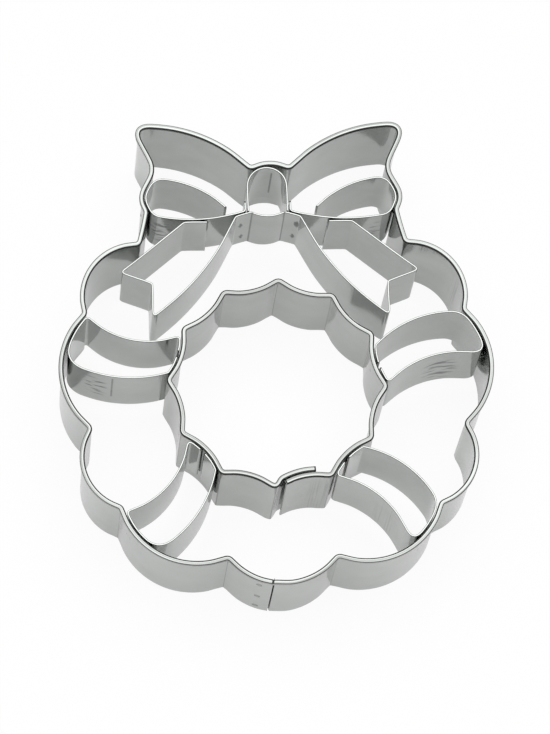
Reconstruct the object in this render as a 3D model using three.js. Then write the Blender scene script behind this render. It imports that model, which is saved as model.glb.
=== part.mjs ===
import * as THREE from 'three';

// Wreath-and-bow cookie cutter: ten bent steel strips, held together by spot welds.
// Millimetres, +Z up, cutting edges on z = 0, the bow towards +Y.

// Strip stock
const sheet = 0.35; // thickness of every strip
const wallHeight = 22; // cutting walls, from edge to rim
const embossHeight = 16.5; // embossing strips, which only mark the dough
const embossSet = 0.2; // embossing strips' upper edge below the top of the rim
const beadWidth = 0.9; // rolled rim of the cutting walls, across
const beadDepth = 0.9; // rolled rim, from its top to its tucked edge
const creaseRadius = 0.55; // tightest inside bend of a rolled rim
const rimNotch = 1.3; // cut off the rim where the outer wall's inner end passes under its lap

// Spot welds
const weldGap = 0.25; // air between two strips beside a weld
const weldRadius = 0.6;
const weldSeat = 0.04; // between a weld nugget and each strip
const wallWeldHeights = [2.2, 9, 17]; // on the outer wall's lap
const ringWeldHeights = [6, 15]; // on the ring's lap
const embossWeldHeight = 13; // where embossing strips meet
const bandWeldHeight = 14; // where a band meets the ring or the wall

// Wreath outline, alike on both sides of the bow's axis: its inward creases, each by its angle from
// that axis and its radius, and the swell of the lobes between them past their chords
const bowCrease = { angle: 42.3, radius: 38.5 };
const backCrease = { angle: 68.2, radius: 39.4 };
const sideCrease = { angle: 103.4, radius: 36.8 };
const cornerCrease = { angle: 128.4, radius: 39.1 };
const frontCrease = { angle: 163.2, radius: 35.9 };
const backSwell = 4.7;
const sideSwell = 5.4;
const cornerSwell = 4.35;
const flankSwell = 5.35;
const frontSwell = 5.4;
const lapEnd = -2; // the outer layer's free end on the front lobe, from the bow's axis
const lapLength = 6.5;
const lapWeld = 2.4; // from that end to the welds
const lapStart = 0.35; // from that end to the inner layer's joggle
const joggleRun = 0.9;
const joggleBend = 0.5;

// Bow outline, right half: a pinch above the wreath, a bulge round the loop, a waist and the tip,
// whose upper edge swells on its way to the knot
const bowPinch = { x: 24.2, y: 35.7, bend: 2.2 };
const bowBulge = { x: 25.5, y: 38.6, bend: 4 };
const bowWaist = { x: 22.4, y: 44.6, bend: 5 };
const bowTip = { x: 26.5, y: 53.2, bend: 2.2 };
const bowSwell = 2.85;
const knotDip = { x: 3.9, y: 44 }; // where the bow's edge dips beside the knot
const knotSwell = 1.2;

// Inner ring: scallops that swell into the hole, with cusps between them
const scallops = 12;
const ringTurn = -2.4;
const cuspRadius = 21.9;
const scallopSwell = 1.35; // into the hole, past the chord from cusp to cusp
const ringStart = 0.21; // share of the lapped scallop that the ring's outer end leaves bare
const ringJoin = 0.19; // share of it in which the inner end steps over the outer end's bead
const ringJoinBend = 1.5;
const ringEnd = 0.72; // share of it that the inner end covers

// Ribbon bands: closed strips between ring and wall. Each has its outer corners in the lobe between
// two creases on one side of the bow's axis, each corner by its share of the lobe from that crease and
// the first one with its own bend. Its inner end is on the nearest scallop, a few degrees off the middle
const bands = [
  {
    name: 'band_right', side: 1, creases: [sideCrease, backCrease],
    shares: [0.59, 0.015], bend: 2.2, lean: 0.4,
  },
  {
    name: 'band_left', side: -1, creases: [backCrease, sideCrease],
    shares: [0.02, 0.585], bend: 0.8, lean: 2.7,
  },
  {
    name: 'band_front_left', side: -1, creases: [cornerCrease, frontCrease],
    shares: [0.06, 0.545], bend: 0.8, lean: 3.4,
  },
  {
    name: 'band_front_right', side: 1, creases: [frontCrease, cornerCrease],
    shares: [0.59, 0.015], bend: 2, lean: 0.4,
  },
];
const bandContact = 0.25; // share of its outer side at which it touches the wall
const bandInner = { from: -0.44, to: 0.27 }; // its inner corners, in scallops from its axis
const bandSeam = { from: -0.16, to: -0.07 }; // its two ends, on the ring
const bandHollow = 2.8; // swell of its two long sides
const bandCrown = 2.1;
const bandTightBend = 0.8;
const bandWideBend = 6;

// Ribbon loops of the bow, right one: its free end, and the bends of its round end, which nests
// in the wall's bulge and leaves it towards the waist and towards the pinch
const loopEnd = { x: 8.9, above: 1 }; // from the knot's flank
const loopUpperReach = 0.69; // share of the way to the waist
const loopLowerReach = 1.35; // share of the way to the pinch
const loopUpperBend = 3.5;
const loopLowerBend = 3;
const loopCrown = 1.5;
const loopSag = 1;

// Knot and tails, right half, from the knot's own axis
const knotShift = -0.7; // the knot's axis, beside the bow's
const archHeight = 8.6; // from the bow's dip down to the flank's inner end
const flankInner = { x: 3.3, y: knotDip.y - archHeight };
const flankRun = 3.1; // the flank falls away from the knot
const flankDrop = 0.9;
const flankBend = 0.9;
const knotSag = 0.8;
const archHalfWidth = 3.85;
const loopTurnUp = 2; // a loop's inner end, turned up along the arch's leg
const loopTurnBend = 0.7;
const tailPoint = { x: 23.15, y: 13.9 };
const tailNotch = { x: 23.15, y: 20.75 };
const tailTip = { beyond: 3.45, below: 5.3 }; // from the bow's crease
const tailFlap = { x: 16.6, end: 11.8 };
const tailSag = 1.8;
const tailSlack = 0.4;
const tailFold = 0.6;
const tailBend = 1.2;

// Facets
const largestTurn = 12; // degrees from one facet to the next
const weldSides = 10;

const degree = Math.PI / 180;
const steel = { color: 0xb8bcb8, roughness: 0.34, metalness: 1 };
const stack = sheet + weldGap; // from one strip to the next one welded to it

const at = (x, y) => new THREE.Vector2(x, y);
const polar = (radius, degrees) => at(radius, 0).rotateAround(at(0, 0), degrees * degree);
const rightOf = (direction) => at(direction.y, -direction.x);

// The leg from a to b, straight or an arc whose swell lies to the right of travel
function leg(a, b, swell = 0) {
  const chord = b.clone().sub(a);
  const width = chord.length();
  const along = chord.clone().divideScalar(width);
  const turn = 4 * Math.atan((2 * swell) / width);
  if (Math.abs(turn) < 1e-6) {
    return {
      turn: 0,
      length: width,
      point: (share) => a.clone().addScaledVector(chord, share),
      heading: () => along.clone(),
    };
  }
  const radius = width / (2 * Math.sin(turn / 2));
  const first = along.clone().rotateAround(at(0, 0), -turn / 2);
  const centre = a.clone().addScaledVector(rightOf(first), -radius);
  return {
    turn,
    length: radius * turn,
    point: (share) => a.clone().rotateAround(centre, turn * share),
    heading: (share) => first.clone().rotateAround(at(0, 0), turn * share),
  };
}

// The swell of a stretch of a leg that covers this share of it
function partSwell(whole, share) {
  return (whole.length / whole.turn) * (1 - Math.cos((whole.turn * share) / 2));
}

// The swell of the arc from a to b through m
function swellThrough(a, m, b) {
  const u = a.clone().sub(m);
  const v = b.clone().sub(m);
  const opening = Math.atan2(u.cross(v), u.dot(v));
  const turn = -2 * (Math.PI - Math.abs(opening)) * Math.sign(opening);
  return (a.distanceTo(b) / 2) * Math.tan(turn / 4);
}

// A strip's line through stations: each has a place, a bend there and the swell of the leg after it
function bentLine(stations) {
  const legs = stations.slice(1).map((station, i) => leg(stations[i].at, station.at, stations[i].swell));
  const wanted = stations.map(({ bend = 0 }, i) => {
    if (i === 0 || i === legs.length) return 0;
    return bend * Math.tan(legs[i - 1].heading(1).angleTo(legs[i].heading(0)) / 2);
  });
  const room = legs.map(({ length }, i) => Math.min(1, (0.96 * length) / (wanted[i] + wanted[i + 1])));
  const cuts = wanted.map((cut, i) => cut * Math.min(room[i - 1] ?? 1, room[i] ?? 1));
  const line = [];
  legs.forEach((part, i) => {
    const from = cuts[i] / part.length;
    const to = 1 - cuts[i + 1] / part.length;
    const steps = Math.max(1, Math.ceil(Math.abs(part.turn * (to - from)) / (largestTurn * degree)));
    const firstStep = i > 0 && cuts[i] === 0 ? 1 : 0;
    for (let step = firstStep; step <= steps; step += 1) {
      line.push(part.point(from + ((to - from) * step) / steps));
    }
    if (cuts[i + 1] > 0) line.push(...roundCorner(part, to, legs[i + 1], cuts[i + 1] / legs[i + 1].length));
  });
  return line;
}

// The inner points of a bend from one leg to the next, tangent to both
function roundCorner(before, leave, after, enter) {
  const a = before.point(leave);
  const b = after.point(enter);
  const u = before.heading(leave);
  const v = after.heading(enter);
  const apex = a.clone().addScaledVector(u, b.clone().sub(a).cross(v) / u.cross(v));
  const bend = new THREE.QuadraticBezierCurve(a, apex, b);
  const steps = Math.max(2, Math.ceil(u.angleTo(v) / (largestTurn * degree)));
  return bend.getPoints(steps).slice(1, -1);
}

// At each point of a line, the way to the right, stretched so that offsets keep their distance
function mitres(line) {
  return line.map((p, i) => {
    const before = rightOf(p.clone().sub(line[Math.max(i - 1, 0)]).normalize());
    const after = rightOf(line[Math.min(i + 1, line.length - 1)].clone().sub(p).normalize());
    const middle = before.clone().add(after).normalize();
    return middle.divideScalar(middle.dot(after.lengthSq() > 0 ? after : before));
  });
}

function offsetLine(line, distance) {
  const ways = mitres(line);
  return line.map((p, i) => p.clone().addScaledVector(ways[i], distance));
}

// Where a ray from a place first crosses a line, and the line's right-hand way there
function meet(line, from, degrees) {
  const ray = polar(1, degrees);
  let nearest = null;
  for (let i = 1; i < line.length; i += 1) {
    const side = line[i].clone().sub(line[i - 1]);
    const gap = line[i - 1].clone().sub(from);
    const reach = gap.cross(side) / ray.cross(side);
    const share = gap.cross(ray) / ray.cross(side);
    if (reach > 0 && share >= 0 && share <= 1 && (!nearest || reach < nearest.reach)) {
      nearest = { reach, at: from.clone().addScaledVector(ray, reach), way: rightOf(side.normalize()) };
    }
  }
  return nearest;
}

// A closed solid: the section, as offset to the right and height, carried along the line
function sweep(line, section) {
  const ways = mitres(line);
  const positions = [];
  line.forEach((p, i) => {
    section(i).forEach(([offset, z]) => {
      positions.push(p.x + ways[i].x * offset, p.y + ways[i].y * offset, z);
    });
  });
  const outline = section(0).map(([offset, z]) => at(offset, z));
  const sides = outline.length;
  const last = (line.length - 1) * sides;
  const index = [];
  for (let ring = 0; ring < last; ring += sides) {
    for (let k = 0; k < sides; k += 1) {
      const next = (k + 1) % sides;
      index.push(ring + k, ring + sides + k, ring + sides + next);
      index.push(ring + k, ring + sides + next, ring + next);
    }
  }
  THREE.ShapeUtils.triangulateShape(outline, []).forEach(([a, b, c]) => {
    index.push(a, b, c, last + c, last + b, last + a);
  });
  const geometry = new THREE.BufferGeometry();
  geometry.setAttribute('position', new THREE.Float32BufferAttribute(positions, 3));
  geometry.setIndex(index);
  geometry.computeVertexNormals();
  return geometry;
}

// A cutting wall's section: its cookie face at offset 0, a half-round bead rolled to the right
function wallSection() {
  const radius = beadWidth / 2;
  const tucked = beadDepth - (beadWidth - sheet) / 2;
  const bead = [[beadWidth, wallHeight - tucked]];
  for (let degrees = 0; degrees <= 180; degrees += 45) {
    const lift = polar(radius, degrees);
    bead.push([radius + lift.x, wallHeight - radius + lift.y]);
  }
  return [[0, 0], [sheet, 0], [sheet, wallHeight - beadDepth], ...bead];
}

// The same wall where its rim is cut off, with a round upper edge of as many points
function tongueSection() {
  const radius = sheet / 2;
  const edge = [];
  for (let degrees = 0; degrees <= 180; degrees += 30) {
    const lift = polar(radius, degrees);
    edge.push([radius + lift.x, wallHeight - rimNotch - radius + lift.y]);
  }
  return [[0, 0], [sheet, 0], ...edge];
}

const embossTop = wallHeight - embossSet;
const embossSection = [
  [-sheet / 2, embossTop - embossHeight],
  [sheet / 2, embossTop - embossHeight],
  [sheet / 2, embossTop],
  [-sheet / 2, embossTop],
];

const cutter = new THREE.Group();

function addPiece(name, geometry) {
  const piece = new THREE.Mesh(geometry, new THREE.MeshStandardMaterial(steel));
  piece.name = name;
  cutter.add(piece);
  return piece;
}

// A weld nugget: a flat lens in the gap beside a line's face, across the gap
function addWeld(name, place, lift, z, gap = weldGap) {
  const half = gap / 2 - weldSeat;
  const shoulder = at(weldRadius * 0.6, half * 0.7);
  const profile = [at(0, -half), at(shoulder.x, -shoulder.y), at(weldRadius, 0), shoulder, at(0, half)];
  const nugget = addPiece(name, new THREE.LatheGeometry(profile, weldSides));
  const centre = place.at.clone().addScaledVector(place.way, lift);
  nugget.position.set(centre.x, centre.y, z);
  const across = new THREE.Vector3(place.way.x, place.way.y, 0);
  nugget.quaternion.setFromUnitVectors(new THREE.Vector3(0, 1, 0), across);
}

// A shape alike on both sides of an upright axis: its right half, then the same on the left
function bothHalves(half, axis, lastSwell = 0) {
  const right = half.map((station) => ({ ...station, at: at(axis + station.at.x, station.at.y) }));
  const left = half.map((station, i) => ({
    at: at(axis - station.at.x, station.at.y),
    bend: station.bend,
    swell: i > 0 ? half[i - 1].swell : lastSwell,
  }));
  return [...right, ...left.reverse()];
}

// The outer wall runs from its lapped inner end on the front lobe, up the right side, over the
// bow and back down the left side to its outer end on the front lobe
const wallBend = creaseRadius + beadWidth;
const crease = ({ angle, radius }, swell = 0) => ({ at: polar(radius, 90 - angle), bend: wallBend, swell });
const corner = ({ x, y, bend }, swell = 0) => ({ at: at(x, y), bend, swell });
const rightHalf = [
  crease(frontCrease, flankSwell),
  crease(cornerCrease, cornerSwell),
  crease(sideCrease, sideSwell),
  crease(backCrease, backSwell),
  crease(bowCrease),
  corner(bowPinch),
  corner(bowBulge),
  corner(bowWaist),
  corner(bowTip, bowSwell),
  corner({ ...knotDip, bend: wallBend }, knotSwell),
];

const frontRight = rightHalf[0].at;
const frontLobe = leg(at(-frontRight.x, frontRight.y), frontRight, frontSwell);
const frontShare = (x) => 0.5 + Math.asin((x / frontLobe.length) * frontLobe.turn) / frontLobe.turn;
const lapShares = [lapEnd - lapLength, lapEnd + lapStart, lapEnd + lapStart + joggleRun].map(frontShare);
const [innerEnd, joggle, rejoin] = lapShares.map((share, i) => {
  const inset = i < 2 ? -stack : 0;
  return frontLobe.point(share).addScaledVector(rightOf(frontLobe.heading(share)), inset);
});

const wallLine = bentLine([
  { at: innerEnd, swell: partSwell(frontLobe, lapShares[1] - lapShares[0]) },
  { at: joggle, bend: joggleBend },
  { at: rejoin, bend: joggleBend, swell: partSwell(frontLobe, 1 - lapShares[2]) },
  ...bothHalves(rightHalf, 0, partSwell(frontLobe, frontShare(lapEnd))),
  { at: frontLobe.point(frontShare(lapEnd)) },
]);
const rimmed = wallLine.findIndex((p) => p.x >= joggle.x);
const rejoined = wallLine.findIndex((p) => p.x >= rejoin.x);
addPiece('outer_wall', sweep(wallLine, (i) => (i < rimmed ? tongueSection() : wallSection())));

const lapPlace = meet(wallLine.slice(rejoined), at(lapEnd - lapWeld, 0), -90);
wallWeldHeights.forEach((z, i) => addWeld(`weld_wall_lap_${i + 1}`, lapPlace, -weldGap / 2, z));

// The inner ring starts on its lapped scallop, on the wreath's side, goes once round and ends on
// the same scallop, on the hole's side of its own bead
const pitch = 360 / scallops;
const lappedAngle = -90 + ringTurn;
const cusps = Array.from({ length: scallops }, (_, i) => polar(cuspRadius, lappedAngle + pitch * (i + 1)));
const lapped = leg(cusps[scallops - 1], cusps[0], -scallopSwell);
const lapSide = (share) => lapped.point(share).addScaledVector(
  rightOf(lapped.heading(share)),
  -beadWidth - weldGap,
);
const innerEnds = [ringJoin, (ringJoin + ringEnd) / 2, ringEnd].map(lapSide);
const ringLine = bentLine([
  { at: lapped.point(ringStart), swell: partSwell(lapped, 1 - ringStart) },
  ...cusps.map((cusp, i) => ({
    at: cusp,
    bend: wallBend,
    swell: i < scallops - 1 ? -scallopSwell : 0,
  })),
  { at: innerEnds[0], bend: ringJoinBend, swell: swellThrough(...innerEnds) },
  { at: innerEnds[2] },
]);
const ringSection = wallSection().map(([offset, z]) => [-offset, z]).reverse();
addPiece('inner_ring', sweep(ringLine, () => ringSection));

const ringLap = meet(ringLine.slice(0, Math.floor(ringLine.length / 2)), at(0, 0), lappedAngle + pitch / 2);
const ringGap = beadWidth + weldGap - sheet;
ringWeldHeights.forEach((z, i) => {
  addWeld(`weld_ring_lap_${i + 1}`, ringLap, -sheet - ringGap / 2, z, ringGap);
});

// Lines on which an embossing strip's middle lies against the wall or the ring
const stripInset = weldGap + sheet / 2;
const wallSeat = offsetLine(wallLine.slice(rejoined), -stripInset);
const ringSeat = offsetLine(ringLine, stripInset);

// Each band starts at its seam on the ring, runs out along its hollow side, along the wall, and
// back along its crowned side
function addBand({ name, side, creases, shares, lean, bend }) {
  const [from, to] = creases.map(({ angle }) => 90 - side * angle);
  const span = 1 - shares[0] - shares[1];
  const onWall = (part) => meet(wallSeat, at(0, 0), from + (to - from) * (shares[0] + span * part)).at;
  const outer = [0, 0.5, 1].map(onWall);
  const scallop = Math.round((outer[1].angle() / degree - lappedAngle) / pitch - 0.5);
  const axis = lappedAngle + pitch * (scallop + 0.5) + lean;
  const onRing = (share) => meet(ringSeat, at(0, 0), axis + pitch * share).at;
  const alongRing = (a, b) => swellThrough(onRing(a), onRing((a + b) / 2), onRing(b));
  const line = bentLine([
    { at: onRing(bandSeam.from), swell: alongRing(bandSeam.from, bandInner.from) },
    { at: onRing(bandInner.from), bend: bandTightBend, swell: -bandHollow },
    { at: outer[0], bend, swell: swellThrough(...outer) },
    { at: outer[2], bend: bandWideBend, swell: bandCrown },
    { at: onRing(bandInner.to), bend: bandTightBend, swell: alongRing(bandInner.to, bandSeam.to) },
    { at: onRing(bandSeam.to) },
  ]);
  addPiece(name, sweep(line, () => embossSection));
  const wallPlace = meet(wallLine, at(0, 0), onWall(bandContact).angle() / degree);
  const ringPlace = meet(ringLine, at(0, 0), axis + (pitch * (bandInner.to + bandSeam.to)) / 2);
  addWeld(`weld_${name}_wall`, wallPlace, -weldGap / 2, bandWeldHeight);
  addWeld(`weld_${name}_ring`, ringPlace, weldGap / 2, bandWeldHeight);
}
bands.forEach(addBand);

// A loop's inner end lies on the knot's flank, one stack from the tails' strip, and then turns up
// along the arch's leg
const flankOuter = { x: flankInner.x + flankRun, y: flankInner.y - flankDrop };
const flankWay = rightOf(at(flankInner.x - flankOuter.x, flankInner.y - flankOuter.y).normalize());
const onFlank = ({ x, y }, layer) => at(x, y).addScaledVector(flankWay, layer * stack);

const onFlankAt = (x) => at(x, onFlank(flankOuter, 1).y + ((flankOuter.x - x) * flankDrop) / flankRun);
const turnCorner = onFlankAt(archHalfWidth + stack);
const turnEnd = at(turnCorner.x, turnCorner.y + loopTurnUp);

// A loop starts at its free end, goes over its crown, round the bulge and back to the knot
const nest = offsetLine([bowPinch, bowBulge, bowWaist].map(({ x, y }) => at(x, y)), -stripInset);
const loopUpper = nest[1].clone().lerp(nest[2], loopUpperReach);
const loopLower = nest[1].clone().lerp(nest[0], loopLowerReach);
const loopLines = [];
for (const [side, label] of [[1, 'right'], [-1, 'left']]) {
  const aside = (p) => at(side * p.x, p.y);
  const atKnot = (p) => at(knotShift + side * p.x, p.y);
  const line = bentLine([
    { at: at(side * loopEnd.x, flankInner.y + loopEnd.above), swell: -side * loopCrown },
    { at: aside(loopUpper), bend: loopUpperBend },
    { at: aside(nest[1]), bend: bowBulge.bend - stripInset },
    { at: aside(loopLower), bend: loopLowerBend, swell: -side * loopSag },
    { at: atKnot(onFlank(flankOuter, 1)) },
    { at: atKnot(turnCorner), bend: loopTurnBend },
    { at: atKnot(turnEnd) },
  ]);
  addPiece(`loop_${label}`, sweep(line, () => embossSection));
  loopLines.push(line);
  const wallAside = meet(wallLine, at(0, bowBulge.y), side > 0 ? 0 : 180);
  addWeld(`weld_loop_${label}_wall`, wallAside, -weldGap / 2, embossWeldHeight);
}

// The arch goes over the knot under the outer wall's dip, and its legs end above the flanks
const archTop = meet(wallSeat, at(knotShift, 0), 90).at.y;
const shoulder = at(archHalfWidth, archTop - archHalfWidth);
const archLine = bentLine(bothHalves([
  { at: onFlankAt(archHalfWidth) },
  { at: shoulder, swell: archHalfWidth },
], knotShift));
addPiece('knot_arch', sweep(archLine, () => embossSection));
addWeld('weld_arch_wall', meet(wallLine, at(knotShift, archTop), 90), -weldGap / 2, embossWeldHeight);

// The tails are one strip: flap, tip, notch, point and flank on the right, the knot's underside,
// and the same again on the left
const loopLow = Math.min(...loopLines.flat().map((p) => p.y));
const flapY = loopLow - stack;
const creasePlace = polar(bowCrease.radius, 90 - bowCrease.angle);
const tipPlace = at(creasePlace.x + tailTip.beyond, creasePlace.y - tailTip.below);
const tailLine = bentLine(bothHalves([
  { at: at(tailFlap.end, flapY) },
  { at: at(tailFlap.x, flapY), bend: tailBend, swell: tailSlack },
  { at: tipPlace, bend: tailFold },
  { at: at(tailNotch.x, tailNotch.y), bend: tailFold },
  { at: at(tailPoint.x, tailPoint.y), bend: tailFold, swell: -tailSag },
  { at: onFlank(flankOuter, 0), bend: flankBend },
  { at: onFlank(flankInner, 0), bend: tailFold, swell: -knotSag },
], knotShift));
addPiece('ribbon_tails', sweep(tailLine, () => embossSection));

// On each side, the flap is welded to the loop above it, and the loop's inner end is welded to
// the tails and to the arch's leg
for (const [side, label] of [[1, 'right'], [-1, 'left']]) {
  const flapMiddle = at(knotShift + (side * (tailFlap.end + tailFlap.x)) / 2, flapY);
  const loopLine = loopLines[side > 0 ? 0 : 1];
  addWeld(`weld_flap_${label}`, meet(loopLine, flapMiddle, 90), (-side * stack) / 2, embossWeldHeight);
  const atKnot = (p) => at(knotShift + side * p.x, p.y);
  const onTails = turnCorner.clone().lerp(onFlank(flankOuter, 1), 0.5).addScaledVector(flankWay, -stack / 2);
  const onTailsWay = at(side * flankWay.x, flankWay.y);
  addWeld(`weld_loop_${label}_tails`, { at: atKnot(onTails), way: onTailsWay }, 0, embossWeldHeight);
  const onArch = at(archHalfWidth + stack / 2, turnEnd.y - weldRadius);
  addWeld(`weld_loop_${label}_arch`, { at: atKnot(onArch), way: at(side, 0) }, 0, embossWeldHeight);
}

// The origin is under the middle of the finished cutter
const box = new THREE.Box3().setFromObject(cutter);
cutter.position.set(-(box.min.x + box.max.x) / 2, -(box.min.y + box.max.y) / 2, -box.min.z);

export default cutter;
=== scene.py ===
# %% [markdown]
# # A wreath-and-bow cookie cutter
# The cutter is ten strips of thin stainless steel, bent to shape and spot-welded together. Two tall
# strips cut the dough: the scalloped outer wall and the ring round the hole, both with a rim rolled
# over for the baker's hand. Eight lower strips only press the ribbon into the dough. The solids come
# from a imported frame, in metres, and this lesson dresses each of them with a finer mesh and a finish.

# %% Load the frame
import math
from itertools import groupby

import bmesh
import bpy
import numpy as np
from mathutils import Matrix, Vector
from mathutils.bvhtree import BVHTree
from mathutils.geometry import interpolate_bezier


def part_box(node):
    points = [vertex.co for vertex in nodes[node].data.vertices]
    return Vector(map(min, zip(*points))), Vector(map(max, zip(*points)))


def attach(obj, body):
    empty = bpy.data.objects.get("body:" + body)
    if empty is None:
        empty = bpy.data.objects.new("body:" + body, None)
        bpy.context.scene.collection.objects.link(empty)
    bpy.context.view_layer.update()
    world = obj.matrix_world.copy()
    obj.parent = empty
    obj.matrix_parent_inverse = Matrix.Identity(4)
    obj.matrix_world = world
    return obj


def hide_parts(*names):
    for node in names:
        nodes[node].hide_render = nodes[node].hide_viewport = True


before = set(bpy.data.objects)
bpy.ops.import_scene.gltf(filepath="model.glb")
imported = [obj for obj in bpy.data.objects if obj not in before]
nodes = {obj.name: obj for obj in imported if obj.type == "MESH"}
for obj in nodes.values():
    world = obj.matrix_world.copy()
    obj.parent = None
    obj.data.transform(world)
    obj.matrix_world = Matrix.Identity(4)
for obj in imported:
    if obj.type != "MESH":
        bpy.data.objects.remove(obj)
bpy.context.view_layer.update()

mm = 0.001
scene = bpy.context.scene

# %% [markdown]
# The cutter lies on its cutting edges, and the camera looks steeply down on it from the front, a
# little from the left and slightly rolled. A long lens keeps the walls nearly parallel. The camera
# could be aimed with a Track To constraint, but a fixed matrix says plainly where it stands.

# %% Camera
view_azimuth = -102.575  # degrees, where the camera stands round the cutter
view_elevation = 71.63
view_roll = 11.227
view_distance = 898.7 * mm
view_target = Vector((1.19, 3.6, 0)) * mm
focal_length = 220.7  # millimetres
sensor_size = 36  # millimetres, along the sensor's long side

level = math.cos(math.radians(view_elevation))
toward_camera = Vector((
    level * math.cos(math.radians(view_azimuth)),
    level * math.sin(math.radians(view_azimuth)),
    math.sin(math.radians(view_elevation)),
))
camera = bpy.data.objects.new("camera", bpy.data.cameras.new("camera"))
camera.data.lens = focal_length
camera.data.sensor_width = sensor_size
aim = (-toward_camera).to_track_quat("-Z", "Y").to_matrix()
turned = aim @ Matrix.Rotation(math.radians(view_roll), 3, "Z")
camera.matrix_world = Matrix.LocRotScale(view_target + toward_camera * view_distance, turned, None)
scene.collection.objects.link(camera)
scene.camera = camera
print("camera at", [round(x / mm) for x in camera.location], "mm")

# %% [markdown]
# Bare steel shows its surroundings more than itself. Seen from above, an upright wall mirrors the
# floor at its foot, and the rolled rim mirrors everything from the floor past the dim room to the
# soft light overhead. So the world is a wide bright cap on a dim surround, and the floor is white.
# A lamp or two could do the same, but a cap has no hard edge to draw on the rims.

# %% World and view
cap_tilt = 8  # degrees from straight up, towards the back
cap_inner = 22  # degrees from its middle where the cap starts to fade
cap_outer = 46
cap_strength = 3.4
surround_strength = 0.16


def nodes_of(tree):
    """A maker of nodes for a tree: it takes a kind, and plain input values by socket name."""
    def add(kind, **inputs):
        node = tree.nodes.new(kind)
        for socket, value in inputs.items():
            node.inputs[socket.replace("_", " ")].default_value = value
        return node
    return add


world = bpy.data.worlds.new("studio")
scene.world = world
world.use_nodes = True
world.node_tree.nodes.clear()
add = nodes_of(world.node_tree)
wire = world.node_tree.links.new
direction = add("ShaderNodeTexCoord")
cap_way = add("ShaderNodeVectorMath")
cap_way.operation = "DOT_PRODUCT"
tilt = math.radians(cap_tilt)
cap_way.inputs[1].default_value = (0, math.sin(tilt), math.cos(tilt))
cap_fade = add("ShaderNodeMapRange", To_Min=surround_strength, To_Max=cap_strength)
cap_fade.interpolation_type = "SMOOTHSTEP"
cap_fade.inputs["From Min"].default_value = math.cos(math.radians(cap_outer))
cap_fade.inputs["From Max"].default_value = math.cos(math.radians(cap_inner))
light = add("ShaderNodeBackground")
sky = add("ShaderNodeOutputWorld")
wire(direction.outputs["Generated"], cap_way.inputs[0])
wire(cap_way.outputs["Value"], cap_fade.inputs["Value"])
wire(cap_fade.outputs["Result"], light.inputs["Strength"])
wire(light.outputs["Background"], sky.inputs["Surface"])
scene.view_settings.view_transform = "Standard"
print("light cap", cap_strength, "on a surround of", surround_strength)

# %% [markdown]
# The cutter stands on a plain square, so large that its border is never seen. A plane from the Add
# menu would do as well. It isn't part of the cutter.

# %% Floor
floor_size = 4.0  # metres

half = floor_size / 2
floor_mesh = bpy.data.meshes.new("floor")
floor_corners = [(-half, -half, 0), (half, -half, 0), (half, half, 0), (-half, half, 0)]
floor_mesh.from_pydata(floor_corners, [], [(0, 1, 2, 3)])
floor = bpy.data.objects.new("floor", floor_mesh)
scene.collection.objects.link(floor)
print("floor", floor_size, "m square")

# %% [markdown]
# The floor is white paper. A plain white diffuse floor would look grey beside the metal, because the
# walls keep light from it. Mixing in some glow for camera rays makes it read as white and still keeps
# the cutter's soft shadow. Glossy and transmission rays get part of that glow, so the steel shows a
# white floor too.

# %% Floor paper
floor_white = 0.95
seen_glow = 0.93  # share of even white that the camera sees
mirrored_glow = 0.5  # share of it that the steel mirrors


def new_material(name):
    """An empty node material, its node maker and its link maker."""
    material = bpy.data.materials.new(name)
    material.use_nodes = True
    material.node_tree.nodes.clear()
    return material, nodes_of(material.node_tree), material.node_tree.links.new


ray_glows = {
    "Is Camera Ray": seen_glow,
    "Is Glossy Ray": mirrored_glow,
    "Is Transmission Ray": mirrored_glow,
}
paper, add, wire = new_material("floor_paper")
ray = add("ShaderNodeLightPath")
shaded = add("ShaderNodeBsdfDiffuse", Color=(floor_white, floor_white, floor_white, 1))
glow = add("ShaderNodeEmission", Color=(1, 1, 1, 1), Strength=1)
mixed = add("ShaderNodeMixShader")
paper_out = add("ShaderNodeOutputMaterial")
glow_share = None
for kind, part in ray_glows.items():
    total = add("ShaderNodeMath")
    total.operation = "MULTIPLY_ADD"
    total.inputs[1].default_value = part
    total.inputs[2].default_value = 0
    wire(ray.outputs[kind], total.inputs[0])
    if glow_share is not None:
        wire(glow_share, total.inputs[2])
    glow_share = total.outputs[0]
wire(glow_share, mixed.inputs["Fac"])
wire(shaded.outputs[0], mixed.inputs[1])
wire(glow.outputs[0], mixed.inputs[2])
wire(mixed.outputs[0], paper_out.inputs["Surface"])
floor_mesh.materials.append(paper)
print("floor paper has", len(paper.node_tree.nodes), "nodes")

# %% [markdown]
# Each strip stands upright, so its foot tells its whole course. On the solid, the foot is the lowest
# ring of faces: a long thin ribbon with two square ends. Walking round the ribbon's border and cutting
# it at the four square corners gives its two long sides, point by point in pairs. The course could be
# typed in again, but reading it keeps the dressed strip exactly where its solid is.

# %% Read a strip's two sides
square_turn = math.radians(60)  # a border turns more than this only at a strip's ends
same_place = 0.01 * mm  # points nearer to each other than this count as one


def foot_border(mesh):
    """The border of the faces on a strip's lowest level, as a closed walk of points."""
    foot = min(v.co.z for v in mesh.vertices) + same_place
    steps = set()
    for face in mesh.polygons:
        corners = [mesh.vertices[i].co for i in face.vertices]
        if max(p.z for p in corners) < foot:
            keys = [(round(p.x, 6), round(p.y, 6)) for p in corners]
            steps.update(zip(keys, keys[1:] + keys[:1]))
    onward = {a: b for a, b in steps if (b, a) not in steps}
    walk = [min(onward)]
    while len(walk) < len(onward):
        walk.append(onward[walk[-1]])
    return [Vector(p) for p in walk]


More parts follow.
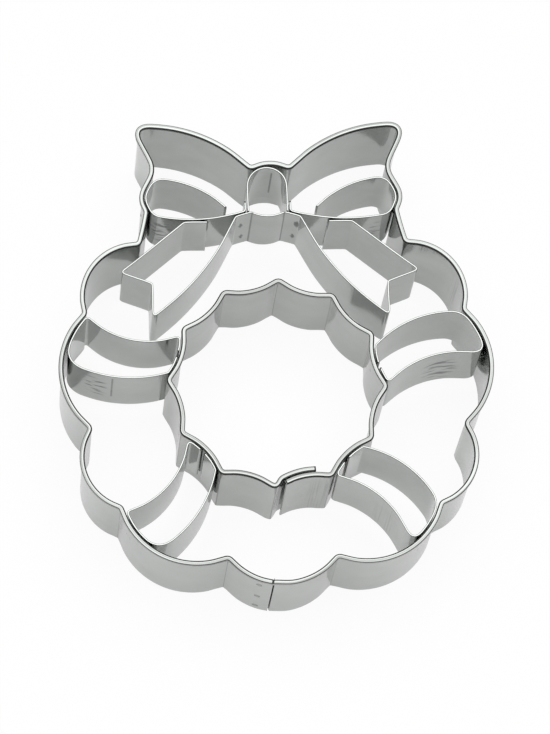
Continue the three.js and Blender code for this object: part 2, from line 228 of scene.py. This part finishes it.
def strip_sides(node):
    """The two long sides of a strip's foot, as matching lists of points."""
    walk = foot_border(nodes[node].data)
    count = len(walk)
    turns = [
        abs((walk[i] - walk[i - 1]).angle_signed(walk[(i + 1) % count] - walk[i]))
        for i in range(count)
    ]
    square = [i for i in range(count) if turns[i] > square_turn]
    first = next(i for i in square if (i + 1) % count in square)
    walk = walk[first + 1:] + walk[:first + 1]
    last = next(i for i in range(1, count - 1) if (first + 1 + i) % count in square)
    return walk[:last + 1], walk[:last:-1]


for node in ("outer_wall", "inner_ring", "ribbon_tails", "band_left"):
    side, other = strip_sides(node)
    print(node, len(side), "and", len(other), "points")

# %% [markdown]
# The solids are faceted, but each facet's ends lie on the true bend. A Bezier curve with automatic
# handles through those points brings the round bends back, and straight stretches stay straight. Here
# the handles are worked out one by one, because the strip needs to know its sideways direction and its
# distance from the start at every step.

# %% Smooth a course
course_step = 0.45 * mm


class Course:
    """A smooth line through points: its places, the ways to their right, and how far along they lie.

    With the steps of another course, it gets as many places between two points as that one.
    """

    def __init__(self, points, steps=None):
        lengths = [(b - a).length for a, b in zip(points, points[1:])]
        self.steps = steps or [max(2, math.ceil(length / course_step)) for length in lengths]
        ways = []
        for i, p in enumerate(points):
            before = (p - points[max(i - 1, 0)]).normalized()
            after = (points[min(i + 1, len(points) - 1)] - p).normalized()
            ways.append((before + after).normalized())
        self.places = [points[0]]
        self.counts = [0.0]  # the point that a place lies at, as a count from the first one
        for i, (a, b, count) in enumerate(zip(points, points[1:], self.steps)):
            reach = lengths[i] / 3
            handles = [a, a + ways[i] * reach, b - ways[i + 1] * reach, b]
            run = interpolate_bezier(*[p.to_3d() for p in handles], count + 1)
            self.places += [p.to_2d() for p in run[1:]]
            self.counts += [i + k / count for k in range(1, count + 1)]
        gaps = [(b - a).length for a, b in zip(self.places, self.places[1:])]
        self.along = [sum(gaps[:i]) for i in range(len(self.places))]
        self.right = []
        for i, place in enumerate(self.places):
            before = (place - self.places[max(i - 1, 0)]).normalized()
            after = (self.places[min(i + 1, len(self.places) - 1)] - place).normalized()
            ahead = before + after
            self.right.append(Vector((ahead.y, -ahead.x)).normalized())


sheet = min((a - b).length for a, b in zip(*strip_sides("band_left")))
tails_course = Course([(a + b) / 2 for a, b in zip(*strip_sides("ribbon_tails"))])
print(f"sheet {sheet / mm:.2f} mm; the tails' strip is {tails_course.along[-1] / mm:.0f} mm long")

# %% [markdown]
# The cutting walls are bent sharply at every crease, but the rolled rim is too stiff to follow, so the
# bend is tight at the foot and rounder at the top. A second course, drawn into the corners of the tight
# bends, says where the lower part of a wall runs. Shrinking a bend's points towards its corner keeps
# it a bend between the same two straight ends, only with a smaller radius.

# %% Tighten the creases
crease_limit = 1.7 * mm  # a bend with a larger radius isn't a crease
crease_share = 0.38  # of a crease's radius that is left at the foot


def creased(points, start):
    """The points of a course whose tight right bends are drawn in, from a start onward.

    It also gives the middle of each of these bends, as a count of points.
    """
    steps = [b - a for a, b in zip(points, points[1:])]
    turns = [0, *[a.angle_signed(b) for a, b in zip(steps, steps[1:])], 0]
    drawn = list(points)
    middles = []
    tight = [step.length < crease_limit * max(turns[k:k + 2]) for k, step in enumerate(steps)]
    for is_bend, run in groupby(range(start, len(steps)), key=lambda k: tight[k]):
        run = list(run)
        first, last = run[0], run[-1] + 1
        if is_bend and start < first and last < len(steps):
            lead = steps[first - 1].normalized() + steps[first].normalized()
            tail = steps[last - 1].normalized() + steps[last].normalized()
            reach = (points[last] - points[first]).cross(tail) / lead.cross(tail)
            corner = points[first] + lead * reach
            for i in range(first, last + 1):
                drawn[i] = corner.lerp(points[i], crease_share)
            middles.append((first + last) / 2)
    return drawn, middles


ring_side = strip_sides("inner_ring")[0]
for way, walk in (("forth", ring_side), ("back", ring_side[::-1])):
    print(len(creased(walk, 0)[1]), "tight right bends along the ring's side,", way)

# %% [markdown]
# A section is what a saw cut across the strip would show. An embossing strip is a plain flat section
# with rounded edges. It could be an extruded rectangle with a Bevel modifier, but a list of points is
# easy to carry along a course. Each point has its offset, its height and its share across a rim.

# %% An embossing strip's section
edge_radius = 0.12 * mm  # of the upper edges, smoothed for the hand
shear_radius = 0.05 * mm  # of the other sheared edges
guard = 0.1 * mm  # rows this close to a bend keep the flat face's shading flat
row_count = 16


def arc(x, z, radius, start, end, steps):
    """Points of an arc in a section, from one angle to another."""
    angles = [math.radians(start + (end - start) * k / steps) for k in range(steps + 1)]
    return [(x + radius * math.cos(a), z + radius * math.sin(a), 0) for a in angles]


def rows(x, low, high):
    """Points up or down a flat face, without its two ends."""
    sign = 1 if high > low else -1
    inner_low = low + sign * guard
    inner_high = high - sign * guard
    return [(x, inner_low + (inner_high - inner_low) * k / row_count, 0) for k in range(row_count + 1)]


def emboss_section(low, high):
    """An embossing strip's section, which has no rim."""
    foot_x = sheet / 2 - shear_radius
    edge_x = sheet / 2 - edge_radius
    return [
        *rows(-sheet / 2, low + shear_radius, high - edge_radius),
        *arc(-edge_x, high - edge_radius, edge_radius, 180, 90, 6),
        *arc(edge_x, high - edge_radius, edge_radius, 90, 0, 6),
        *rows(sheet / 2, high - edge_radius, low + shear_radius),
        *arc(foot_x, low + shear_radius, shear_radius, 0, -90, 4),
        *arc(-foot_x, low + shear_radius, shear_radius, -90, -180, 4),
    ]


print(2 * (row_count + 1), "points on the two faces of an embossing strip's section")

# %% [markdown]
# A cutting wall's section goes up, folds over its rim, comes down again as a short lip and leaves a
# hair-thin slit behind the lip. The fold bulges a little past the cookie face. Where the wall passes
# under its own lap, the rim is cut off, and a plain round edge with as many points takes its place.
# The rim's bends are wide enough to mirror a thin line of the dim room along both of its sides.

# %% A cutting wall's section
wall_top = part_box("outer_wall")[1].z
rim_width = 0.9 * mm
rim_depth = 0.9 * mm  # from the top of the rim to the lip's edge
rim_bulge = 0.1 * mm  # of the fold, past the cookie face
fold_radius = 0.4 * mm  # on the side of the cookie
lip_radius = 0.22 * mm
cut_radius = 0.06 * mm  # of the cutting edge


def rolled_rim(shift=0):
    """A rolled rim, from the cookie face over the fold and the lip to the other face."""
    slit = rim_width - 2 * sheet
    lip_foot = wall_top - rim_depth
    fold_start = (0, lip_foot, 0)
    outline = [
        fold_start, fold_start,  # twice, so that the shading of the face below stays flat
        *arc(fold_radius - rim_bulge, wall_top - fold_radius, fold_radius, 200, 90, 11),
        *arc(rim_width - lip_radius, wall_top - lip_radius, lip_radius, 90, 0, 8),
        *arc(rim_width - shear_radius, lip_foot + shear_radius, shear_radius, 0, -90, 3),
        *arc(sheet + slit + shear_radius, lip_foot + shear_radius, shear_radius, -90, -180, 3),
        *arc(sheet + slit / 2, wall_top - sheet - slit, slit / 2, 0, 180, 4),
    ]
    return [(x + shift, z, x / rim_width) for x, z, _ in outline]


def plain_rim(top):
    """The edge of a wall whose rim is cut off at a height, with the points of a rolled one."""
    return arc(sheet / 2, top - sheet / 2, sheet / 2, 180, 0, len(rolled_rim()) - 1)


def wall_section(rim):
    """A cutting wall's section: its cookie face at offset 0, its rim, other face and cutting edge."""
    return [
        *rows(0, cut_radius, rim[0][1]),
        *rim,
        *rows(sheet, rim[-1][1], cut_radius),
        *arc(sheet - cut_radius, cut_radius, cut_radius, 0, -90, 3),
        *arc(cut_radius, cut_radius, cut_radius, -90, -180, 3),
    ]


print(len(emboss_section(0, wall_top)), "points round an embossing strip,",
      len(wall_section(rolled_rim())), "round a cutting wall")

# %% [markdown]
# A loft carries the section along the course: one ring of points at every step, quads from ring to
# ring, and a flat face on each sheared end. A curve object with a bevel profile does this too, but a
# mesh built ring by ring can change its section where the rim is cut off and pass over to a tighter
# course below the rim. It can also hold what the finish needs to know at each point: how far along the
# strip it lies, and how far across a rim.

# %% Loft a strip
crease_fade = 4 * mm  # height in which a crease passes from round to tight


def loft(name, course, section_at, low_course=None, cuts=()):
    """A closed strip: the section of each step carried along the course, changing sharply at the cuts.

    With a low course, the strip passes to it downward from its rim.
    """
    points, along, edge = [], [], []
    for i, place in enumerate(course.places):
        for x, z, on_edge in section_at(i):
            side = place + course.right[i] * x
            if low_course:
                share = min(1, max(0, (wall_top - z - rim_depth) / crease_fade))
                side = side.lerp(low_course.places[i] + low_course.right[i] * x, share)
            points.append((side.x, side.y, z))
            along.append(course.along[i])
            edge.append(on_edge)
    ring = len(section_at(0))
    last = len(points) - ring
    faces = [
        (r + k, r + (k + 1) % ring, r + ring + (k + 1) % ring, r + ring + k)
        for r in range(0, last, ring)
        for k in range(ring)
    ]
    faces += [tuple(range(ring))[::-1], tuple(range(last, last + ring))]
    mesh = bpy.data.meshes.new(name)
    mesh.from_pydata(points, [], faces)
    shape = bmesh.new()
    shape.from_mesh(mesh)
    bmesh.ops.recalc_face_normals(shape, faces=shape.faces)
    shape.to_mesh(mesh)
    shape.free()
    flat = {len(faces) - 2, len(faces) - 1}
    for cut in cuts:
        flat.update(range(cut * ring, (cut + 1) * ring))
    mesh.polygons.foreach_set("use_smooth", [i not in flat for i in range(len(faces))])
    for label, values in (("along", along), ("edge", edge)):
        mesh.attributes.new(label, "FLOAT", "POINT").data.foreach_set("value", values)
    strip = bpy.data.objects.new(name, mesh)
    scene.collection.objects.link(strip)
    return strip


print(f"creases turn tight over {crease_fade / mm:.0f} mm of height")

# %% [markdown]
# A procedural finish is a small network of nodes: coordinates, noise, colour ramps and mixes. The
# noise could sit on the object's own coordinates, but then it would cut straight across every bend.
# Here it follows the strip's own length, held in the mesh, so that grain and streaks run round the
# bends with the steel. A few helpers keep the networks short.

# %% Finish helpers
def held(add, label):
    """A value that the mesh holds at its points."""
    attribute = add("ShaderNodeAttribute")
    attribute.attribute_name = label
    return attribute.outputs["Fac"]


def strip_coordinates(add, wire):
    """A vector of the distance along the strip and the height, in metres, and the share across a rim."""
    place = add("ShaderNodeTexCoord")
    height = add("ShaderNodeSeparateXYZ")
    strip_place = add("ShaderNodeCombineXYZ")
    wire(place.outputs["Object"], height.inputs[0])
    wire(held(add, "along"), strip_place.inputs["X"])
    wire(height.outputs["Z"], strip_place.inputs["Y"])
    wire(held(add, "edge"), strip_place.inputs["Z"])
    return strip_place.outputs[0]


def pattern(add, wire, vector, scale, detail=3.0):
    """A noise whose grain is stretched by a scale along the strip, up it and across its rim."""
    stretch = add("ShaderNodeMapping", Scale=scale)
    grain = add("ShaderNodeTexNoise", Scale=1.0, Detail=detail, Roughness=0.55)
    wire(vector, stretch.inputs["Vector"])
    wire(stretch.outputs[0], grain.inputs["Vector"])
    return grain.outputs["Fac"]


def mapped(add, wire, value, low, high, from_low=0.3, from_high=0.7):
    """A value brought from its own range, by default that of a noise, to another one."""
    change = add("ShaderNodeMapRange", From_Min=from_low, From_Max=from_high, To_Min=low, To_Max=high)
    wire(value, change.inputs["Value"])
    return change.outputs["Result"]


def tinted(add, wire, value, *stops):
    """A colour ramp: each stop is a place from 0 to 1 and a colour."""
    ramp = add("ShaderNodeValToRGB")
    while len(ramp.color_ramp.elements) < len(stops):
        ramp.color_ramp.elements.new(0.5)
    for element, (place, colour) in zip(ramp.color_ramp.elements, stops):
        element.position = place
        element.color = colour
    wire(value, ramp.inputs["Fac"])
    return ramp.outputs["Color"]


def darkened(add, wire, colour, share, shade):
    """A colour multiplied by a shade, as far as a share from 0 to 1 says."""
    mix = add("ShaderNodeMix")
    mix.data_type = "RGBA"
    mix.blend_type = "MULTIPLY"
    wire(share, mix.inputs[0])
    wire(colour, mix.inputs[6])
    wire(shade, mix.inputs[7])
    return mix.outputs[2]


# The worn places include the painted shade at creases and in the lap's seam.
print("finishes read these from a strip: along, edge and its worn places")

# %% [markdown]
# The strips are cold-rolled stainless steel: even grey, fairly smooth, with a faint mottle, fine
# rolling lines along the strip and bending streaks across it. The rolled rims are drawn over a tool,
# which leaves streaks along them. The side of the lip is painted a little darker, and the underside
# of the fold much darker: both are painted shade. Worn places are darker, and so are the thin lines
# of painted shade at the creases and the painted shade in the lap's seam. Metal takes its colour in
# the base colour, and the gloss comes from roughness alone.

# %% Strip steel
wall_light = (0.455, 0.472, 0.457, 1)
wall_dark = (0.415, 0.43, 0.416, 1)
# The ring's and the ribbons' greys are the wall's, made a little darker.
ring_light = (0.428, 0.442, 0.429, 1)
ring_dark = (0.39, 0.403, 0.39, 1)
ribbon_light = (0.437, 0.453, 0.439, 1)
ribbon_dark = (0.398, 0.413, 0.399, 1)
strip_roughness = (0.09, 0.14)
streak_strength = 0.25  # of the bump from bending streaks
streak_depth = 0.02 * mm


def make_strip_steel(name, light, dark):
    """The steel of a strip, between a light and a dark grey."""
    material, add, wire = new_material(name)
    place = strip_coordinates(add, wire)
    # Each pattern has its grains per metre along the strip and up it, and its grains across a rim.
    mottle = pattern(add, wire, place, (150, 150, 0))
    rolling = pattern(add, wire, place, (60, 5000, 0), 2.0)
    bending = pattern(add, wire, place, (3000, 40, 0), 2.0)
    drawing = pattern(add, wire, place, (25, 0, 9), 2.0)
    scratching = pattern(add, wire, place, (230, 800, 0), 1.0)
    # Each shade has a pattern, two stops of it with their greys, the value in the mesh that says where
    # it lies, and the range of that value from no shade to the full one.
    shades = [
        (drawing, (0.4, 0.5), (0.6, 0.95), "edge", 0.02, 0.1),  # the rim
        # painted shade: the side of the lip a little darker
        (drawing, (0.4, 0.7), (0.6, 0.8), "edge", 0.4, 0.7),  # the side of the lip
        # painted shade: the fold's underside much darker
        (drawing, (0.4, 0.12), (0.6, 0.3), "edge", 0, -0.06),  # under the fold
        (scratching, (0.5, 1), (0.6, 0.3), "scratched", 0, 1),
        (bending, (0.5, 1), (0.75, 0.6), "streaked", 0, 1),
        (rolling, (0.3, 0.1), (0.7, 0.35), "marked", 0.3, 0.8),
        # painted shade: thin dark lines at creases
        (rolling, (0.3, 0.3), (0.7, 0.6), "pressed", 0.89, 0.97),
        # painted shade in the lap's seam
        (mottle, (0.3, 0.08), (0.7, 0.2), "grimed", 0, 1),
    ]
    colour = tinted(add, wire, mottle, (0.3, dark), (0.7, light))
    for grain, *stops, label, clear_at, full_at in shades:
        shade = tinted(add, wire, grain, *[(stop, (grey, grey, grey, 1)) for stop, grey in stops])
        share = mapped(add, wire, held(add, label), 0, 1, clear_at, full_at)
        colour = darkened(add, wire, colour, share, shade)
    metal = add("ShaderNodeBsdfPrincipled", Metallic=1.0)
    out = add("ShaderNodeOutputMaterial")
    wire(colour, metal.inputs["Base Color"])
    wire(mapped(add, wire, rolling, *strip_roughness), metal.inputs["Roughness"])
    bump = add("ShaderNodeBump", Strength=streak_strength, Distance=streak_depth)
    wire(bending, bump.inputs["Height"])
    wire(bump.outputs[0], metal.inputs["Normal"])
    wire(metal.outputs[0], out.inputs["Surface"])
    return material


wall_steel = make_strip_steel("wall_steel", wall_light, wall_dark)
ring_steel = make_strip_steel("ring_steel", ring_light, ring_dark)
ribbon_steel = make_strip_steel("ribbon_steel", ribbon_light, ribbon_dark)
print("strip steel has", len(wall_steel.node_tree.nodes), "nodes")

# %% [markdown]
# Bending and handling have marked the strips in a few places: bunches of short scratches along the
# strip, streaks up it near tight bends and dark spots beside the knot. Thin dark upright lines at the
# creases are painted shade. Painting them by hand in Texture Paint would need an image. Here every
# mesh point holds how worn or shaded it is, from its distance to the middle of each mark.

# %% Wear and painted shade
# The two spreads below are for thin lines of painted shade at creases.
line_spread = 2.5  # mm to where a pressed line's share ends; the finish draws only the middle of it
crease_spread = 5  # the same for a line at a cutting wall's crease

# Each worn or shaded place has a kind, a middle, and its reach along the strip and up it, in mm.
# The kind for thin lines at creases is painted shade, and the other kinds are worn marks.
wear_and_shade = {
    "band_left": [
        ("scratched", (-35.1, -4.3, 14.5), 2.6, 8),
        ("pressed", (-31.9, -5, 15.3), line_spread, 6),
    ],
    "band_right": [("scratched", (32.8, -1.2, 12.9), 4, 8)],
    "band_front_right": [("streaked", (21, -32.1, 12), 4, 10)],
    "loop_left": [("scratched", (-21.7, 27.7, 14), 2.4, 7)],
    "loop_right": [("scratched", (20.9, 27.6, 13), 1.6, 6)],
    "knot_arch": [("pressed", (0.4, 37.6, 14), line_spread, 6)],
    "ribbon_tails": [
        ("pressed", (-3.8, 28.4, 14), line_spread, 20),
        ("pressed", (2.6, 28.4, 14), line_spread, 20),
        ("marked", (-5.9, 27.9, 15.7), 0.6, 1.6),
        ("marked", (-5.4, 28, 9.3), 0.6, 1.6),
        ("marked", (5.1, 27.8, 17), 0.8, 2.2),
        ("marked", (4.7, 27.9, 9.7), 0.6, 1.6),
    ],
    "outer_wall": [("streaked", (36.6, 14.4, 9.8), 3, 12)],
    "inner_ring": [("streaked", (8, -25.8, 8), 3.5, 14)],
}


def mark_wear_and_shade(strip, node):
    """Lets a strip's points hold how worn or shaded they are, kind by kind."""
    places = wear_and_shade.get(node, [])
    points = [v.co / mm for v in strip.data.vertices]
    along = [point.value / mm for point in strip.data.attributes["along"].data]
    for kind in sorted({kind for kind, *_ in places}):
        shares = [0] * len(points)
        for _, middle, reach_along, reach_up in [place for place in places if place[0] == kind]:
            nearest = min(range(len(points)), key=lambda i: (points[i] - Vector(middle)).length)
            for i, point in enumerate(points):
                off = abs(along[i] - along[nearest]) / reach_along
                up = abs(point.z - middle[2]) / reach_up
                if kind == "pressed":
                    share = 1 - off if up < 1 else 0
                else:
                    share = min(1, 2 - 2 * math.hypot(off, up))
                shares[i] = max(shares[i], share)
        strip.data.attributes.new(kind, "FLOAT", "POINT").data.foreach_set("value", shares)


def shade_creases(strip, lines):
    """Paints a thin line of shade up a cutting wall at each of its creases, below the rim."""
    shares = []
    for v, point in zip(strip.data.vertices, strip.data.attributes["along"].data):
        off = min(abs(point.value - line) for line in lines) / mm / crease_spread
        shares.append(1 - off if v.co.z < wall_top - rim_depth else 0)
    strip.data.attributes.new("pressed", "FLOAT", "POINT").data.foreach_set("value", shares)


# The count includes the thin lines of painted shade at creases.
print(sum(len(places) for places in wear_and_shade.values()), "worn places")

# %% [markdown]
# Each dressed piece stands for one solid. That solid is hidden, and the piece gets its own material
# and rides on a body. Nothing on the cutter moves, so every piece rides on the same body.

# %% Tie a piece to its solid
def settle(piece, node, material):
    """Gives a piece its finish, lets it stand for its solid and ties it to the body."""
    piece.data.materials.append(material)
    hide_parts(node)
    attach(piece, "root")


print(len(nodes), "solids to dress, all on one body")

# %% [markdown]
# The outer wall's inner end passes under its outer end, the lap. The rim is left out there, and a short
# step brings the wall out again close beside the outer layer's end. The rim starts with the step
# and is shifted out over it, so that it goes straight on from the outer layer's rim. Joining two
# objects with a Boolean would hide the seam, which shows as a dark line on the real wall. Below the
# rim, the step is darkened in colour, as painted shade in the seam.

# %% The outer wall's lap
step_start = 0.02 * mm  # from the outer layer's end
step_cut = 0.01 * mm  # in which the cut rim gives way to the rolled one
step_end = 0.3 * mm
step_lead = 0.34 * mm
step_clear = 1.7 * mm  # past this, the wall keeps its solid's course
notch_sink = 0.9 * mm  # below the solid's notch, so that no edge looks over the outer layer


def stepped(side, count):
    """The points of a course with a short step after its lapped ones, and the number of the step's seam."""
    end = side[-1]
    onward = next(i for i in range(count, len(side)) if (side[i] - end).length > step_clear)
    heading = (side[onward] - end).normalized()
    last_way = (end - side[-2]).normalized()
    inset = Vector((-last_way.y, last_way.x)) * min((p - end).length for p in side[:count])
    under = [p for p in side[:count] if (p - end).dot(heading) < -step_end]
    seam = end + heading * step_start + inset
    step = [seam - heading * step_cut, seam, end + heading * step_end, end + heading * step_lead]
    return under + step + side[onward:], len(under) + 1


def lapped_wall(name, side, notch_top, count):
    """A wall whose first points pass under its own lap, its course and its creases."""
    points, first = stepped(side, count)
    course = Course(points)
    drawn, bends = creased(points, first + 2)
    low_course = Course(drawn, course.steps)
    seam, flush, lead = [course.counts.index(first + k) for k in range(3)]
    heading = (points[first + 2] - points[first + 1]).normalized()
    across = Vector((heading.y, -heading.x))
    parts = [min(1, k / (flush - seam)) for k in range(lead - seam)]
    ways = [course.right[-1].lerp(across, part).normalized() for part in parts]
    course.right[seam:lead] = ways
    low_course.right[seam:lead] = ways
    shifts = [max(0, (side[-1] - p).dot(way)) for p, way in zip(course.places[seam:flush], ways)]
    sections = [wall_section(plain_rim(notch_top + sheet / 2 - notch_sink))] * seam
    sections += [wall_section(rolled_rim(shift)) for shift in shifts]
    sections += [wall_section(rolled_rim())] * (len(course.places) - flush)
    wall = loft(name, course, lambda i: sections[i], low_course, [seam - 1])
    # Painted shade in the seam: the step's faces below the rim are darkened.
    seam_shade = []
    for i, section in enumerate(sections):
        seam_shade += [float(seam <= i < flush and z < wall_top - rim_depth) for _, z, _ in section]
    wall.data.attributes.new("grimed", "FLOAT", "POINT").data.foreach_set("value", seam_shade)
    print(f"rim cut off for {course.along[seam] / mm:.1f} mm at the lap")
    return wall, course, bends


print(f"the step at the lap is {(step_end - step_start) / mm:.2f} mm long")

# %% [markdown]
# The two cutting walls are lofted from the cookie side of their feet, with the rim rolled to the other
# side. The solid's corners above each foot point tell how high the cookie face reaches there. It is
# lower where the outer wall passes under its own lap, and nowhere on the ring.

# %% Cutting walls
notch_limit = 0.5 * mm  # a face that ends lower than this below the others is notched


def face_tops(node, side):
    """How high the solid's corners reach above each point of one side of its foot."""
    corners = [v.co for v in nodes[node].data.vertices]
    return [max(c.z for c in corners if (c.to_2d() - p).length < same_place) for p in side]


def make_wall(node, name, material):
    """A cutting wall with its creases, painted shade lines along them, and its worn places."""
    side, other = strip_sides(node)
    if sum(face_tops(node, side)) < sum(face_tops(node, other)):
        side, other = other, side
    if (other[0] - side[0]).dot(Course(side).right[0]) < 0:
        side = side[::-1]
    tops = face_tops(node, side)
    notched = [top for top in tops if top < max(tops) - notch_limit]
    if notched:
        wall, course, bends = lapped_wall(name, side, tops[0], len(notched))
    else:
        course = Course(side)
        drawn, bends = creased(side, 0)
        wall = loft(name, course, lambda i: wall_section(rolled_rim()), Course(drawn, course.steps))
    # painted shade: a thin dark line up each crease
    shade_creases(wall, [np.interp(bend, course.counts, course.along) for bend in bends])
    mark_wear_and_shade(wall, node)
    settle(wall, node, material)
    print(f"{name}: {course.along[-1] / mm:.0f} mm of strip, {len(wall.data.polygons)} faces")
    return wall


strips = [
    make_wall("outer_wall", "wreath_wall", wall_steel),
    make_wall("inner_ring", "hole_ring", ring_steel),
]

# %% [markdown]
# The eight embossing strips stand inside the walls, a little below the rims and well above the board,
# so that they mark the dough without cutting it. Each is lofted along the middle of its foot. A Solidify
# modifier on a standing ribbon would give the same strip, but with square edges.

# %% Embossing strips
emboss_names = {
    "band_left": "ribbon_band_left",
    "band_right": "ribbon_band_right",
    "band_front_left": "ribbon_band_front_left",
    "band_front_right": "ribbon_band_front_right",
    "loop_left": "bow_loop_left",
    "loop_right": "bow_loop_right",
    "knot_arch": "bow_knot",
    "ribbon_tails": "bow_tails",
}
leg_reach = 0.36 * mm  # that the arch's legs go on, to touch the tails' strip

for node, name in emboss_names.items():
    low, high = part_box(node)
    middle = [(a + b) / 2 for a, b in zip(*strip_sides(node))]
    if node == "knot_arch":
        middle[0] += (middle[0] - middle[1]).normalized() * leg_reach
        middle[-1] += (middle[-1] - middle[-2]).normalized() * leg_reach
    course = Course(middle)
    section = emboss_section(low.z, high.z)
    strip = loft(name, course, lambda i: section)
    mark_wear_and_shade(strip, node)
    settle(strip, node, ribbon_steel)
    strips.append(strip)
    print(f"{name}: {course.along[-1] / mm:.0f} mm of strip, {len(strip.data.polygons)} faces")

# %% [markdown]
# Where a weld has been, the steel is the same grey as the strips. Only on the outer wall's lap did the
# electrodes burn it: there, a darker ring lies round each spot, rougher towards its border. The finish
# reads the distance from the spot's middle, which the mesh holds.

# %% Weld steel
weld_grain = 3000  # grains per metre
weld_roughness = (0.12, 0.4)  # in the middle of a spot and at its border


def make_weld_steel():
    """The steel of the welds, burnt where the mesh holds a distance from a spot's middle."""
    material, add, wire = new_material("weld_steel")
    spot = held(add, "from_middle")
    place = add("ShaderNodeTexCoord")
    grain = pattern(add, wire, place.outputs["Object"], (weld_grain, weld_grain, weld_grain))
    colour = tinted(add, wire, grain, (0.3, ribbon_dark), (0.7, ribbon_light))
    burn_shade = tinted(
        add, wire, spot,
        (0.0, (1, 1, 1, 1)), (0.55, (0.7, 0.69, 0.67, 1)), (0.8, (0.37, 0.36, 0.34, 1)),
        (1.0, (0.84, 0.82, 0.77, 1)),
    )
    colour = darkened(add, wire, colour, mapped(add, wire, spot, 0, 1, 0, 0.1), burn_shade)
    metal = add("ShaderNodeBsdfPrincipled", Metallic=1.0)
    out = add("ShaderNodeOutputMaterial")
    wire(colour, metal.inputs["Base Color"])
    wire(mapped(add, wire, spot, *weld_roughness, 0, 1), metal.inputs["Roughness"])
    wire(metal.outputs[0], out.inputs["Surface"])
    return material


weld_steel = make_weld_steel()
print("weld steel has", len(weld_steel.node_tree.nodes), "nodes")

# %% [markdown]
# Nuggets and dents are round, so each is a profile turned about an axis. The Screw modifier turns a
# profile too. Turning it in code puts all three shapes of a weld into one mesh, and each point's
# distance from the axis is at hand for the finish.

# %% Turn a round shape
weld_turns = 24


def turned_shape(profile, place, axis):
    """Points and faces of a round shape: its profile, as radius and height, turned about an axis."""
    turn = axis.to_track_quat("Z", "Y").to_matrix()
    points = []
    for radius, height in profile:
        for k in range(weld_turns):
            angle = 2 * math.pi * k / weld_turns
            corner = Vector((radius * math.cos(angle), radius * math.sin(angle), height))
            points.append(place + turn @ corner)
    last = weld_turns * (len(profile) - 1)
    faces = [
        (r + k, r + (k + 1) % weld_turns, r + weld_turns + (k + 1) % weld_turns, r + weld_turns + k)
        for r in range(0, last, weld_turns)
        for k in range(weld_turns)
    ]
    faces += [tuple(range(weld_turns))[::-1], tuple(range(last, last + weld_turns))]
    return points, faces


print(weld_turns, "points round each weld")

# %% [markdown]
# A spot weld fuses two strips in one small round nugget, and the electrodes leave a shallow round
# dent on both outer faces. Their places could be typed in, but a ray cast each way from the middle of
# the weld's solid finds the strips' faces wherever they run, and which way they face. The dents on the
# outer wall's lap stand out, and the others are nearly flat.

# %% Spot welds
dent_radius = 0.62 * mm
dent_profile = [(1, 0), (0.9, 1), (0.7, 0.6), (0.35, 0.3), (0.05, 0.2)]  # shares of radius and height
dent_proud = 0.03 * mm  # height of the lap's dents
faint_proud = 0.006 * mm  # and of the others
dent_foot = (dent_radius, -0.1 * mm)  # radius and height at which a dent ends inside the strip
faint_foot = (1.3 * dent_radius, -0.02 * mm)
nugget_radius = 0.6 * mm
nugget_end = 0.8 * nugget_radius  # its radius where it meets the strips
ray_reach = 2 * mm
ray_gap = 0.01 * mm  # from a face that was found to the start of the next ray

corners, quads = [], []
for strip in strips:
    quads += [[len(corners) + i for i in face.vertices] for face in strip.data.polygons]
    corners += [v.co.copy() for v in strip.data.vertices]
metal_faces = BVHTree.FromPolygons(corners, quads)


def make_weld(node):
    """A nugget between two strips and a dent on the outer face of each."""
    points = np.array([v.co for v in nodes[node].data.vertices])
    middle = Vector(points.mean(0))
    axis = Vector(np.linalg.eigh(np.cov(points.T))[1][:, 0])
    on_lap = node.startswith("weld_wall_lap")
    proud, foot = (dent_proud, dent_foot) if on_lap else (faint_proud, faint_foot)
    dent = [foot, *[(radius * dent_radius, height * proud) for radius, height in dent_profile]]
    shapes = []
    near = []
    for way in (axis, -axis):
        inner = metal_faces.ray_cast(middle, way, ray_reach)[3]
        start = middle + way * (inner + ray_gap)
        place, facing, _, _ = metal_faces.ray_cast(start, way, ray_reach)
        near.append(inner)
        shapes.append((dent, place, facing))
    nugget = [(nugget_end, -near[1]), (nugget_radius, 0), (nugget_end, near[0])]
    shapes.append((nugget, middle, axis))
    all_points, all_faces, from_middle = [], [], []
    for profile, place, way in shapes:
        made, faces = turned_shape(profile, place, way)
        all_faces += [tuple(len(all_points) + i for i in face) for face in faces]
        all_points += made
        for radius, _ in profile:
            from_middle += [radius / dent_radius if on_lap else 0] * weld_turns
    mesh = bpy.data.meshes.new("spot_" + node)
    mesh.from_pydata(all_points, [], all_faces)
    mesh.attributes.new("from_middle", "FLOAT", "POINT").data.foreach_set("value", from_middle)
    mesh.polygons.foreach_set("use_smooth", [True] * len(all_faces))
    weld = bpy.data.objects.new("spot_" + node, mesh)
    scene.collection.objects.link(weld)
    settle(weld, node, weld_steel)


welds = [node for node in nodes if node.startswith("weld_")]
for node in welds:
    make_weld(node)
print(len(welds), "spot welds")
